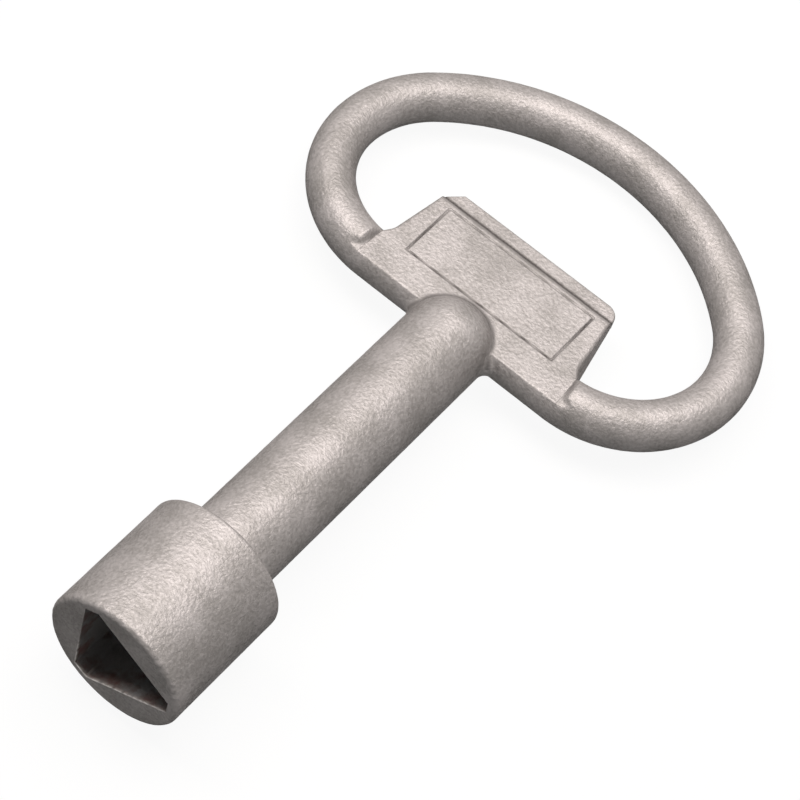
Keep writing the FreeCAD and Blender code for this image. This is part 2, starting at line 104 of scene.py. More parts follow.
for a in np.linspace(0, math.pi / 2, 4)[1:]:
    head_loops.append(socket_outline(HOLE_EDGE * (1 - math.sin(a)),
                                     HOLE_EDGE * (1 - math.cos(a))))
bore_starts = len(head_loops) - 1
rim_starts = bore_starts - 3
for y in np.linspace(HOLE_EDGE, SOCKET_DEPTH, 44)[1:]:
    head_loops.append(socket_outline(-BORE_DRAFT * y, y))
floor_loop = head_loops[-1]
for t in np.linspace(1, 0, 14)[1:-1]:
    head_loops.append(floor_loop * [t, 1, t])


def loft(name, loops, inside_out):
    """A skin of quads between rings of equally many points, closed at the last."""
    rings = len(loops)
    count = len(loops[0])
    points = np.asarray(loops).reshape(-1, 3) * MM
    a = np.arange(rings - 1)[:, None] * count + np.arange(count)[None, :]
    b = np.arange(rings - 1)[:, None] * count + (np.arange(count)[None, :] + 1) % count
    faces = np.stack([a, a + count, b + count, b], -1).reshape(-1, 4).tolist()
    faces.append([(rings - 1) * count + i for i in range(count)])
    mesh = bpy.data.meshes.new(name)
    mesh.from_pydata(points.tolist(), [], faces)
    mesh.polygons.foreach_set("use_smooth", [True] * len(mesh.polygons))
    if inside_out:
        mesh.flip_normals()
    return bpy.data.objects.new(name + "_plain", mesh)


head_plain = loft("socket_head", head_loops, True)


def linear(colour):
    """A colour written as sRGB hex, as the linear values a shader takes."""
    parts = [int(colour[i:i + 2], 16) / 255 for i in (1, 3, 5)]
    parts = [c / 12.92 if c <= 0.04045 else ((c + 0.055) / 1.055) ** 2.4 for c in parts]
    return (*parts, 1.0)


def add(tree, kind, inputs=None, **settings):
    """A node with its settings; each input is a value or another node's output."""
    made = tree.nodes.new(kind)
    for name, value in settings.items():
        setattr(made, name, value)
    for key, value in (inputs or {}).items():
        if isinstance(value, bpy.types.NodeSocket):
            tree.links.new(value, made.inputs[key])
        else:
            made.inputs[key].default_value = value
    return made


def ramp(tree, factor, *stops):
    """A colour ramp through (position, sRGB hex) stops."""
    made = add(tree, "ShaderNodeValToRGB", {"Fac": factor})
    band = made.color_ramp
    while len(band.elements) < len(stops):
        band.elements.new(0.5)
    for element, (position, colour) in zip(band.elements, stops):
        element.position = position
        element.color = linear(colour)
    return made


def blasted_steel(name, pale, dull):
    """Cast steel as it leaves the shot blaster.

    The shot is 0.4 to 0.6 mm, so the skin is a close field of shallow pits
    of that width with a finer grit between them.  The thin oxide on it
    scatters more than half the light, so it looks a warm matt grey with a
    soft broad shine.  Painted shade, with dark mill scale, darkens the
    creases, grooves and corners that the shot can't reach, and a painted
    highlight brightens the socket's lower rim."""
    material = bpy.data.materials.new(name)
    material.use_nodes = True
    tree = material.node_tree
    tree.nodes.clear()
    place = add(tree, "ShaderNodeTexCoord").outputs["Object"]
    clouds = add(tree, "ShaderNodeTexNoise",
                 {"Vector": place, "Scale": 1 / (5 * MM), "Detail": 3.0})
    pits = add(tree, "ShaderNodeTexNoise",
               {"Vector": place, "Scale": 1 / (0.43 * MM), "Detail": 3.0, "Roughness": 0.55})
    grit = add(tree, "ShaderNodeTexNoise",
               {"Vector": place, "Scale": 1 / (0.26 * MM), "Detail": 1.0})
    mottle = add(tree, "ShaderNodeMath",
                 {0: pits.outputs["Fac"], 1: 0.5}, operation="MULTIPLY")
    mottle = add(tree, "ShaderNodeMath",
                 {0: clouds.outputs["Fac"], 1: 0.5, 2: mottle.outputs[0]},
                 operation="MULTIPLY_ADD")
    colour = ramp(tree, mottle.outputs[0], (0.40, dull), (0.60, pale))
    # Painted shade with mill scale: the stored mark, broken up by the pits, darkens the colour
    # towards #4E4A48 in creases, grooves and corners.
    shade_and_scale = add(tree, "ShaderNodeAttribute", attribute_name="scale_and_painted_shade").outputs["Fac"]
    shade_and_scale = add(tree, "ShaderNodeMath", {0: pits.outputs["Fac"], 1: 0.8, 2: shade_and_scale},
               operation="MULTIPLY_ADD")
    shade_and_scale = add(tree, "ShaderNodeMapRange",
               {"Value": shade_and_scale.outputs[0], "From Min": 0.6, "From Max": 1.4})
    scaled_and_shaded = add(tree, "ShaderNodeMix",
                 {"Factor": shade_and_scale.outputs["Result"], "A": colour.outputs["Color"],
                  "B": linear("#4E4A48")}, data_type="RGBA")
    # Painted highlight: the stored mark brightens the colour towards #E6E1DC along the socket's
    # lower rim.
    painted_highlight = add(tree, "ShaderNodeAttribute", attribute_name="painted_highlight").outputs["Fac"]
    bright = add(tree, "ShaderNodeMix",
                 {"Factor": painted_highlight, "A": scaled_and_shaded.outputs["Result"], "B": linear("#E6E1DC")},
                 data_type="RGBA")
    gloss = add(tree, "ShaderNodeMapRange",
                {"Value": grit.outputs["Fac"], "From Min": 0.3, "From Max": 0.7,
                 "To Min": 0.43, "To Max": 0.53})
    coarse = add(tree, "ShaderNodeBump",
                 {"Height": pits.outputs["Fac"], "Strength": 1.0, "Distance": 0.11 * MM})
    fine = add(tree, "ShaderNodeBump",
               {"Height": grit.outputs["Fac"], "Strength": 1.0, "Distance": 0.035 * MM,
                "Normal": coarse.outputs["Normal"]})
    steel = add(tree, "ShaderNodeBsdfPrincipled",
                {"Base Color": bright.outputs["Result"], "Metallic": 0.4,
                 "Roughness": gloss.outputs["Result"], "Specular IOR Level": 0.05,
                 "Specular Tint": linear("#303030"), "Normal": fine.outputs["Normal"]})
    add(tree, "ShaderNodeOutputMaterial", {"Surface": steel.outputs["BSDF"]})
    return material


cast_steel = blasted_steel("shot_blasted_cast_steel", "#ACA7A5", "#928E8B")


def rusty_bore(name):
    """Cored steel that the shot never reaches: a dull grey scale with rust.

    The rust lies in patches 2 to 4 mm across, mostly near the mouth, and is
    a matt red brown.  The deep hole makes both look nearly black."""
    material = bpy.data.materials.new(name)
    material.use_nodes = True
    tree = material.node_tree
    tree.nodes.clear()
    place = add(tree, "ShaderNodeTexCoord").outputs["Object"]
    patches = add(tree, "ShaderNodeTexNoise",
                  {"Vector": place, "Scale": 1 / (2.6 * MM), "Detail": 4.0, "Roughness": 0.6})
    crumbs = add(tree, "ShaderNodeTexNoise",
                 {"Vector": place, "Scale": 1 / (0.5 * MM), "Detail": 2.0})
    depth = add(tree, "ShaderNodeSeparateXYZ", {0: place}).outputs["Y"]
    outer = add(tree, "ShaderNodeMapRange",
                {"Value": depth, "From Min": 6.5 * MM, "From Max": 0.0,
                 "To Min": -0.22, "To Max": 0.10})
    rust = add(tree, "ShaderNodeMath", {0: patches.outputs["Fac"], 1: outer.outputs["Result"]},
               operation="ADD")
    colour = ramp(tree, rust.outputs[0],
                  (0.46, "#BEBCBB"), (0.58, "#A69995"), (0.72, "#93726B"))
    # Painted highlight: the stored mark brightens the colour towards #F2EAE4 at the socket's
    # lower rim and along one inside corner.
    painted_highlight = add(tree, "ShaderNodeAttribute", attribute_name="painted_highlight").outputs["Fac"]
    bright = add(tree, "ShaderNodeMix",
                 {"Factor": painted_highlight, "A": colour.outputs["Color"], "B": linear("#F2EAE4")},
                 data_type="RGBA")
    bumps = add(tree, "ShaderNodeBump",
                {"Height": crumbs.outputs["Fac"], "Strength": 0.8, "Distance": 0.09 * MM})
    scale = add(tree, "ShaderNodeBsdfPrincipled",
                {"Base Color": bright.outputs["Result"], "Metallic": 0.0, "Roughness": 0.78,
                 "Normal": bumps.outputs["Normal"]})
    add(tree, "ShaderNodeOutputMaterial", {"Surface": scale.outputs["BSDF"]})
    return material


# The skin itself is also uneven to the touch: waves some 2.6 mm across and
# shallow dimples, all sunk into the metal and none standing proud of it.
SKIN = {"Wave size": 2.6 * MM, "Wave depth": 0.03 * MM,
        "Dimple size": 0.75 * MM, "Dimple depth": 0.035 * MM, "Seed": 4.0}


def node_tree(name, sizes):
    """An empty Geometry Nodes tree with a named input for each size."""
    tree = bpy.data.node_groups.new(name, "GeometryNodeTree")
    tree.interface.new_socket("Geometry", in_out="INPUT", socket_type="NodeSocketGeometry")
    for label, size in sizes.items():
        kind = "NodeSocketInt" if isinstance(size, int) else "NodeSocketFloat"
        tree.interface.new_socket(label, in_out="INPUT", socket_type=kind).default_value = size
    tree.interface.new_socket("Geometry", in_out="OUTPUT", socket_type="NodeSocketGeometry")
    return tree


skin = node_tree("cast_skin", SKIN)
given = add(skin, "NodeGroupInput")
where = add(skin, "GeometryNodeInputPosition")
depth = None
for size_name, depth_name in (("Wave size", "Wave depth"), ("Dimple size", "Dimple depth")):
    scale = add(skin, "ShaderNodeMath", {0: 1.0, 1: given.outputs[size_name]},
                operation="DIVIDE")
    noise = add(skin, "ShaderNodeTexNoise",
                {"Vector": where.outputs["Position"], "W": given.outputs["Seed"],
                 "Scale": scale.outputs[0], "Detail": 1.0},
                noise_dimensions="4D")
    sunk = add(skin, "ShaderNodeMath", {0: noise.outputs["Fac"], 1: -1.0}, operation="ADD")
    layer = add(skin, "ShaderNodeMath",
                {0: sunk.outputs[0], 1: given.outputs[depth_name], 2: 0.0},
                operation="MULTIPLY_ADD")
    if depth is not None:
        skin.links.new(depth.outputs[0], layer.inputs[2])
    depth = layer
facing = add(skin, "GeometryNodeInputNormal")
push = add(skin, "ShaderNodeVectorMath",
           {0: facing.outputs["Normal"], "Scale": depth.outputs[0]}, operation="SCALE")
moved = add(skin, "GeometryNodeSetPosition",
            {"Geometry": given.outputs["Geometry"], "Offset": push.outputs["Vector"]})
whole = add(skin, "GeometryNodeRealizeInstances", {"Geometry": moved.outputs["Geometry"]})
coated = add(skin, "GeometryNodeSetMaterial",
             {"Geometry": whole.outputs["Geometry"], "Material": cast_steel})
add(skin, "NodeGroupOutput", {0: coated.outputs["Geometry"]})


def cast(name, source, tree, sizes):
    """The plain mesh that a node tree, given its sizes in metres, makes of a source.

    The open ends, which lie inside a neighbour, are closed."""
    bpy.context.scene.collection.objects.link(source)
    modifier = source.modifiers.new("cast", "NODES")
    modifier.node_group = tree
    for socket in tree.interface.items_tree:
        if socket.name in sizes:
            modifier[socket.identifier] = sizes[socket.name]
    ready = source.evaluated_get(bpy.context.evaluated_depsgraph_get())
    mesh = bpy.data.meshes.new_from_object(ready)
    source.modifiers.remove(modifier)
    bpy.data.objects.remove(source)
    shell = bmesh.new()
    shell.from_mesh(mesh)
    ends = bmesh.ops.holes_fill(shell, edges=shell.edges, sides=0)["faces"]
    bmesh.ops.recalc_face_normals(shell, faces=shell.faces)
    for face in ends:
        face.smooth = False
    shell.to_mesh(mesh)
    shell.free()
    mesh.name = name
    piece = bpy.data.objects.new(name, mesh)
    bpy.context.scene.collection.objects.link(piece)
    return piece


# A painted highlight brightens the lower edge of the socket, and the first
# 2.4 mm of one inside corner.  Painted shade, with scale, darkens the fold
# where the shank leaves the head.
HIGHLIGHT_LOOPS = 7
point_loop = np.arange(len(head_plain.data.vertices)) // len(turns)
on_rim = (point_loop > rim_starts) & (point_loop <= bore_starts)
low_side = np.tile((-np.sin(turns) * 3 - 0.3).clip(0, 1), len(head_loops))
broken = 0.8 + 0.35 * np.tile(np.sin(23 * turns) + np.sin(41 * turns + 1), len(head_loops))
in_corner = np.tile(np.abs(turns - corners[5]) < 0.012, len(head_loops))
highlight_depth = ((bore_starts + HIGHLIGHT_LOOPS - point_loop) / HIGHLIGHT_LOOPS).clip(0, 1)
highlight_corner = in_corner * highlight_depth * (point_loop > bore_starts)
painted_highlight = head_plain.data.attributes.new("painted_highlight", "FLOAT", "POINT")
painted_highlight.data.foreach_set("value", np.maximum(on_rim * low_side * broken.clip(0, 1),
                                            highlight_corner).astype(np.float32))
fold = np.exp(-((shoulder_radii - SHANK_R - FLARE) / 0.4) ** 2)
fold = np.concatenate([fold, np.zeros(len(head_loops) - len(fold))])
scale_and_painted_shade = head_plain.data.attributes.new("scale_and_painted_shade", "FLOAT", "POINT")
scale_and_painted_shade.data.foreach_set("value", np.repeat(0.9 * fold, len(turns)).astype(np.float32))
cored = head_plain.data.attributes.new("cored", "BOOLEAN", "FACE")
face_loop = np.arange(len(head_plain.data.polygons)) // len(turns)
cored.data.foreach_set("value", face_loop >= bore_starts)
socket_head = cast("cast_socket_head", head_plain, skin, SKIN)
socket_head.data.materials.append(rusty_bore("rusty_cored_bore"))
in_bore = np.zeros(len(socket_head.data.polygons), bool)
socket_head.data.attributes["cored"].data.foreach_get("value", in_bore)
socket_head.data.polygons.foreach_set("material_index", in_bore.astype(np.int32))
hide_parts("socket_head")
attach(socket_head, "root")

# ------------------------------------------------------------------- shank
# Plain round bar of the casting, with a small fillet where it leaves the
# head and a hemispherical end that stands out of the plate.
DOME_Y = 58.5
shank_loops = []
for a in np.linspace(0, math.pi / 2, 7):
    shank_loops.append(ring(SHANK_R + FLARE * (1 - math.sin(a)),
                            HEAD_LENGTH + FLARE * (1 - math.cos(a))))
for y in np.linspace(HEAD_LENGTH + FLARE, DOME_Y, 170)[1:]:
    shank_loops.append(ring(SHANK_R, y))
for a in np.linspace(0, math.pi / 2, 40)[1:-1]:
    shank_loops.append(ring(SHANK_R * math.cos(a), DOME_Y + SHANK_R * math.sin(a)))
shank_plain = loft("shank", shank_loops, False)
shank = cast("cast_shank", shank_plain, skin, SKIN)
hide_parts("shank")
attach(shank, "root")

# --------------------------------------------------------------------- bow
# Oval finger ring of 6.2 mm round rod, cast on.  Its centreline is a wide top
# arc, two tighter shoulders and two lower corners that run into the plate.
ROD_R = 3.1
BAR_Y = 62.3
HALF_WIDTH = 27.9
LOW_R = 13.9
TOP_R = HALF_WIDTH * 1.1685
TOP_Y = 96.9
STEP = math.radians(3.7)
HALF_THICK = 2.1
ARC_PITCH = 0.2
widest_y = BAR_Y + LOW_R
bar_half = HALF_WIDTH - LOW_R
rise = widest_y - TOP_Y + TOP_R
shoulder_r = (TOP_R ** 2 - HALF_WIDTH ** 2 - rise ** 2) / (2 * (TOP_R - HALF_WIDTH))
shoulder_x = HALF_WIDTH - shoulder_r
lean = math.atan2(shoulder_x, rise)
step_x = bar_half + LOW_R * math.sin(STEP)
step_y = widest_y - LOW_R * math.cos(STEP)


def arc(x, y, radius, start, end):
    """Points 0.2 mm apart along an arc in the plane of the ring."""
    count = max(2, int(abs(end - start) * radius / ARC_PITCH))
    angles = np.linspace(start, end, count)
    return [(x + radius * math.cos(a), y + radius * math.sin(a), 0.0) for a in angles]


# A very short first chord keeps the rod's end square to the plate's end.
half = arc(bar_half, widest_y, LOW_R, STEP - math.pi / 2, 0)
start_x, start_y, _ = half[0]
half.insert(1, (start_x + 0.02 * math.cos(STEP), start_y + 0.02 * math.sin(STEP), 0.0))
half += arc(shoulder_x, widest_y, shoulder_r, 0, math.pi / 2 - lean)[1:]
half += arc(0, TOP_Y - TOP_R, TOP_R, math.pi / 2 - lean, math.pi / 2)[1:]
line = half + [(-x, y, z) for x, y, z in reversed(half[:-1])]
path = bpy.data.curves.new("bow_line", "CURVE")
path.dimensions = "3D"
path.twist_mode = "Z_UP"
spline = path.splines.new("POLY")
spline.points.add(len(line) - 1)
for point, (x, y, z) in zip(spline.points, line):
    point.co = (x * MM, y * MM, z * MM, 1.0)

ROD = {"Rod radius": ROD_R * MM, "Plate half thickness": HALF_THICK * MM,
       "Run out inside": 0.8 * MM, "Run out outside": 3.0 * MM, "Soft edge": 0.3 * MM,
       "Steps round": 112}
LOWER_HALF_Y = 72.0
rod = node_tree("bow_rod", ROD)
given = add(rod, "NodeGroupInput")
section = add(rod, "GeometryNodeCurvePrimitiveCircle",
              {"Resolution": given.outputs["Steps round"], "Radius": given.outputs["Rod radius"]})
swept = add(rod, "GeometryNodeCurveToMesh",
            {"Curve": given.outputs["Geometry"], "Profile Curve": section.outputs["Curve"]})
# Beside the plate the rod's crest runs down to the plate's face: steeply on
# the inner side of the ring, and so slowly on the outer side that it fades.
at = add(rod, "ShaderNodeSeparateXYZ",
         {0: add(rod, "GeometryNodeInputPosition").outputs["Position"]})
out_x = add(rod, "ShaderNodeMath", {0: at.outputs["X"]}, operation="ABSOLUTE")
out_x = add(rod, "ShaderNodeMath", {0: out_x.outputs[0], 1: step_x * MM},
            operation="SUBTRACT")
rise_y = add(rod, "ShaderNodeMath", {0: at.outputs["Y"], 1: step_y * MM},
             operation="SUBTRACT")
beyond = add(rod, "ShaderNodeMath",
             {0: rise_y.outputs[0], 1: math.tan(STEP), 2: out_x.outputs[0]},
             operation="MULTIPLY_ADD")
run = add(rod, "ShaderNodeMapRange",
          {"Value": rise_y.outputs[0], "From Min": -2.3 * MM, "From Max": -1.0 * MM,
           "To Min": given.outputs["Run out outside"], "To Max": given.outputs["Run out inside"]},
          interpolation_type="SMOOTHSTEP")
risen = add(rod, "ShaderNodeMapRange",
            {"Value": beyond.outputs[0], "From Min": 0.0, "From Max": run.outputs["Result"],
             "To Min": 0.0, "To Max": 1.0}, interpolation_type="SMOOTHSTEP")
upper = add(rod, "ShaderNodeMath", {0: at.outputs["Y"], 1: LOWER_HALF_Y * MM},
            operation="GREATER_THAN")
kept = add(rod, "ShaderNodeMath", {0: risen.outputs["Result"], 1: upper.outputs[0]},
           operation="MAXIMUM")
floor = add(rod, "ShaderNodeMath", {0: given.outputs["Plate half thickness"], 1: -1.0},
            operation="MULTIPLY")
flat = add(rod, "ShaderNodeMath",
           {0: at.outputs["Z"], 1: given.outputs["Plate half thickness"],
            2: given.outputs["Soft edge"]}, operation="SMOOTH_MIN")
flat = add(rod, "ShaderNodeMath",
           {0: flat.outputs[0], 1: floor.outputs[0], 2: given.outputs["Soft edge"]},
           operation="SMOOTH_MAX")
proud = add(rod, "ShaderNodeMath", {0: at.outputs["Z"], 1: flat.outputs[0]},
            operation="SUBTRACT")
level = add(rod, "ShaderNodeMath",
            {0: proud.outputs[0], 1: kept.outputs[0], 2: flat.outputs[0]},
            operation="MULTIPLY_ADD")
target = add(rod, "ShaderNodeCombineXYZ",
             {"X": at.outputs["X"], "Y": at.outputs["Y"], "Z": level.outputs[0]})
run_out = add(rod, "GeometryNodeSetPosition",
              {"Geometry": swept.outputs["Mesh"], "Position": target.outputs[0]})
skinned = add(rod, "GeometryNodeGroup", {"Geometry": run_out.outputs["Geometry"]},
              node_tree=skin)
smooth = add(rod, "GeometryNodeSetShadeSmooth", {"Geometry": skinned.outputs["Geometry"]})
# Painted shade, in the same mark as the scale, darkens the steep side of the run-out, towards the
# plate.
slope = add(rod, "ShaderNodeMapRange",
            {"Value": risen.outputs["Result"], "From Min": 0.75, "From Max": 0.0,
             "To Min": 0.0, "To Max": 0.75})
steep = add(rod, "ShaderNodeMapRange",
            {"Value": rise_y.outputs[0], "From Min": -1.7 * MM, "From Max": 0.6 * MM})
near = add(rod, "ShaderNodeMath", {0: at.outputs["Y"], 1: LOWER_HALF_Y * MM},
           operation="LESS_THAN")
shade = add(rod, "ShaderNodeMath", {0: slope.outputs["Result"], 1: steep.outputs["Result"]},
            operation="MULTIPLY")
shade = add(rod, "ShaderNodeMath", {0: shade.outputs[0], 1: near.outputs[0]},
            operation="MULTIPLY")
marked = add(rod, "GeometryNodeStoreNamedAttribute",
             {"Geometry": smooth.outputs["Geometry"], "Name": "scale_and_painted_shade",
              "Value": shade.outputs[0]}, data_type="FLOAT", domain="POINT")
whole = add(rod, "GeometryNodeRealizeInstances", {"Geometry": marked.outputs["Geometry"]})
coated = add(rod, "GeometryNodeSetMaterial",
             {"Geometry": whole.outputs["Geometry"], "Material": cast_steel})
add(rod, "NodeGroupOutput", {0: coated.outputs["Geometry"]})
bow = cast("cast_bow", bpy.data.objects.new("bow_line", path), rod, ROD)
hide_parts("bow")
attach(bow, "root")

# --------------------------------------------------------------- web plate
# Flat plate cast across the ring's lower bar, with a thin lip along its
# upper edge, a fine engraved border, and soft fillets to the shank's end.
PLATE_TOP = 74.6
PLATE_EDGE_R = 0.42
TOP_EDGE_R = 1.3
# The flank and the foot below it are each a sloping line through one point.
FLANK_X, FLANK_Y = 13.98, 65.9
FLANK_RUN, FLANK_RISE = 1.1, 8.6
FOOT_X, FOOT_Y = 14.85, 64.6
FOOT_RUN, FOOT_RISE = 0.8, 1.3
DRAFT = 0.75
LIP_TOP = 76.9
LIP_HALF_WIDTH = 12.85
LIP_HALF_THICK = 0.95
LIP_CORNER_R = 1.9
BORDER_HALF_WIDTH = 11.0
BORDER_HALF_HEIGHT = 4.28
BORDER_MID_Y = 68.8
BORDER_CUT = 0.14
LATTICE = 0.125


def soft_max(a, b, radius):
    """The larger of two distances, with the edge rounded to a radius."""
    return (np.minimum(np.maximum(a, b), -radius)
            + np.hypot(np.maximum(a + radius, 0), np.maximum(b + radius, 0)))


def soft_min(a, b, radius):
    """The smaller of two distances, with the corner filled to a radius."""
    return (np.maximum(np.minimum(a, b), radius)
            - np.hypot(np.maximum(radius - a, 0), np.maximum(radius - b, 0)))


def shank_gap(p):
    """Distance from the skin of the shank and its round end."""
    along = np.maximum(p[..., 1] - DOME_Y, 0)
    return np.sqrt(p[..., 0] ** 2 + along ** 2 + p[..., 2] ** 2) - SHANK_R


def fillet(p):
    """Fillet radius from the shank: wide at the parting, tight on the plate."""
    up = ((p[..., 1] - 59.5) / 3.0).clip(0, 1)
    at_parting = 1 - (np.abs(p[..., 2]) / HALF_THICK).clip(0, 1) ** 2
    return 0.55 + 0.95 * (1 - up * up * (3 - 2 * up)) * at_parting


def border_gap(p):
    """Distance in plan from the engraved rectangle."""
    beside = np.abs(p[..., 0]) - BORDER_HALF_WIDTH
    above = np.abs(p[..., 1] - BORDER_MID_Y) - BORDER_HALF_HEIGHT
    return np.abs(np.where((beside > 0) & (above > 0), np.hypot(beside, above),
                           np.maximum(beside, above)))


def web_gap(p):
    """Distance from the skin of the bar, plate and lip."""
    x = np.abs(p[..., 0])
    y = p[..., 1]
    z = np.abs(p[..., 2])
    off_line = np.where(x < bar_half, np.abs(y - BAR_Y),
                        np.abs(np.hypot(x - bar_half, y - widest_y) - LOW_R))
    bar = soft_max(np.hypot(off_line, z) - ROD_R, z - HALF_THICK, 0.12)
    # The flanks bulge towards the parting line, less near the top.
    draft = (0.71 - 0.072 * (y - 66.6)).clip(0, DRAFT) * (1 - z / HALF_THICK).clip(0, 1)
    flank = ((FLANK_RISE * (x - FLANK_X - draft) + FLANK_RUN * (y - FLANK_Y))
             / math.hypot(FLANK_RISE, FLANK_RUN))
    foot = ((FOOT_RISE * (x - FOOT_X - draft) + FOOT_RUN * (y - FOOT_Y))
            / math.hypot(FOOT_RISE, FOOT_RUN))
    sides = np.maximum(soft_min(flank, foot, 0.15), 61.5 - y)
    strip = off_line - math.sqrt(ROD_R ** 2 - HALF_THICK ** 2)
    sides = soft_min(sides, np.maximum(np.maximum(strip, x - 17.0), y - 70.0), 0.15)
    plate = soft_max(sides, z - HALF_THICK, PLATE_EDGE_R)
    uneven = 0.03 * np.sin(1.3 * p[..., 0] + 1)
    over = (z - HALF_THICK + TOP_EDGE_R).clip(0, TOP_EDGE_R - 0.05)
    rolled = TOP_EDGE_R - np.sqrt(TOP_EDGE_R ** 2 - over ** 2)
    plate = soft_max(plate, 0.8 * (y + uneven + rolled - PLATE_TOP), 0.12)
    body = np.minimum(bar, plate)
    round_corner = soft_max(x - LIP_HALF_WIDTH, y - LIP_TOP, LIP_CORNER_R)
    cut_corner = (1.8 * (x - 13.1) + 1.65 * (y - 74.9)) / math.hypot(1.8, 1.65)
    cut_corner = soft_max(soft_max(x - 13.0, cut_corner, 0.15), y - LIP_TOP, 0.15)
    rim = np.where(p[..., 0] > 0, round_corner, cut_corner)
    lip = soft_max(np.maximum(rim, 70.0 - y), z - LIP_HALF_THICK, 0.3)
    body = soft_min(body, lip, 0.12)
    groove = BORDER_CUT - np.hypot(border_gap(p), p[..., 2] - HALF_THICK)
    return soft_max(body, groove, 0.04)


def web_skin(p):
    """Distance from the skin of the web with its fillets to the shank.

    It ends where the fillet runs out, and 0.4 mm inside the shank."""
    web = web_gap(p)
    shank = shank_gap(p)
    radius = fillet(p)
    grown = soft_min(web, shank, radius)
    return np.maximum(np.maximum(grown, web - 0.98 * radius), -0.4 - shank)


def painted_shade_and_scale(p):
    """How dark each place is painted: painted shade and scale in the border, the creases and
    corners, and painted shade along the lip's top edge.
    """
    front = p[..., 2] > 0.5
    y = p[..., 1]
    groove_strength = np.where(y > 72.9, 0.45, 0.75) + 0.2 * np.sin(1.9 * p[..., 0] + 0.7 * y)
    border = groove_strength * (1.25 - border_gap(p) / 0.2).clip(0, 1)
    crease = np.where(p[..., 2] > 1.3, np.exp(-((y - 74.5) / 0.6) ** 2),
                      np.exp(-((y - 74.75) / 0.35) ** 2))
    crease = np.maximum(1.05 * crease, 0.7 * np.exp(-((y - LIP_TOP) / 0.2) ** 2))
    fold = 0.6 * np.exp(-((web_gap(p) - shank_gap(p)) / 0.6) ** 2)
    return np.where(front, np.maximum(np.maximum(border, crease), fold), 0.0)


def skin_of(gap, low, high, pitch):
    """Points and quads of the surface where gap is zero, on a cubic lattice."""
    axes = [np.arange(low[i], high[i], pitch) for i in range(3)]
    shape = [len(a) for a in axes]
    inside = np.empty(shape, bool)
    for k, z in enumerate(axes[2]):
        layer = np.stack(np.meshgrid(axes[0], axes[1], [z], indexing="ij"), -1)
        inside[:, :, k] = gap(layer)[:, :, 0] < 0
    cells = [n - 1 for n in shape]
    corner = np.zeros(cells, np.int8)
    for i in (0, 1):
        for j in (0, 1):
            for k in (0, 1):
                corner += inside[i:i + cells[0], j:j + cells[1], k:k + cells[2]]
    active = (corner > 0) & (corner < 8)
    index = np.full(cells, -1)
    index[active] = np.arange(active.sum())
    at = np.argwhere(active)
    points = np.stack([axes[i][at[:, i]] for i in range(3)], -1) + pitch / 2
    quads = []
    for axis in range(3):
        u, v = (axis + 1) % 3, (axis + 2) % 3
        near = [slice(1, -1)] * 3
        far = [slice(1, -1)] * 3
        near[axis] = slice(0, -1)
        far[axis] = slice(1, None)
        first = inside[tuple(near)]
        change = np.argwhere(first != inside[tuple(far)])
        flip = first[tuple(change.T)]
        base = change.copy()
        base[:, u] += 1
        base[:, v] += 1
        around = []
        for du, dv in ((-1, -1), (0, -1), (0, 0), (-1, 0)):
            cell = base.copy()
            cell[:, u] += du
            cell[:, v] += dv
            around.append(index[tuple(cell.T)])
        around = np.stack(around, -1)
        around[~flip] = around[~flip][:, ::-1]
        quads.append(around)
    return points, np.concatenate(quads)


def settle(gap, points, rounds):
    """Points moved along the slope of gap until they lie on its zero."""
    nudge = 0.01
    for _ in range(rounds):
        value = gap(points)
        slope = np.stack([(gap(points + d) - gap(points - d)) / (2 * nudge)
                          for d in np.eye(3) * nudge], -1)
        steep = np.maximum((slope ** 2).sum(-1), 0.2)
        points = points - (value / steep).clip(-0.1, 0.1)[:, None] * slope
    return points


web_low = np.array([-16.0, 56.0, -4.2])
web_high = np.array([16.0, 77.4, 4.2])
points, quads = skin_of(web_skin, web_low, web_high, LATTICE)
points = settle(web_skin, points, 5)
# The points are evened out along the skin, and set back on it each time.
for _ in range(3):
    total = np.zeros_like(points)
    share = np.zeros(len(points))
    for a, b in ((0, 1), (1, 2), (2, 3), (3, 0)):
        for p, q in ((a, b), (b, a)):
            np.add.at(total, quads[:, p], points[quads[:, q]])
            np.add.at(share, quads[:, p], 1)
    points = points * 0.5 + total / np.maximum(share, 1)[:, None] * 0.5
    points = settle(web_skin, points, 3)
web_mesh = bpy.data.meshes.new("web_plate")
web_mesh.from_pydata((points * MM).tolist(), [], quads.tolist())
# Painted shade, with scale, in the border, the creases and corners, and painted shade along the
# lip's top edge.
scale_and_painted_shade = web_mesh.attributes.new("scale_and_painted_shade", "FLOAT", "POINT")
scale_and_painted_shade.data.foreach_set("value", painted_shade_and_scale(points).astype(np.float32))
# The plate ends square to the rod's line, where the bow goes on.
trimmed = bmesh.new()
trimmed.from_mesh(web_mesh)
for face in trimmed.faces:
    face.smooth = True
for side in (-1, 1):
    bmesh.ops.bisect_plane(
        trimmed, geom=trimmed.verts[:] + trimmed.edges[:] + trimmed.faces[:], dist=1e-9,
        plane_co=(side * step_x * MM, step_y * MM, 0),
        plane_no=(side * math.cos(STEP), math.sin(STEP), 0), clear_outer=True)
trimmed.to_mesh(web_mesh)
trimmed.free()
web = cast("cast_web_plate", bpy.data.objects.new("web_plain", web_mesh), skin, SKIN)
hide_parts("web_plate")
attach(web, "root")

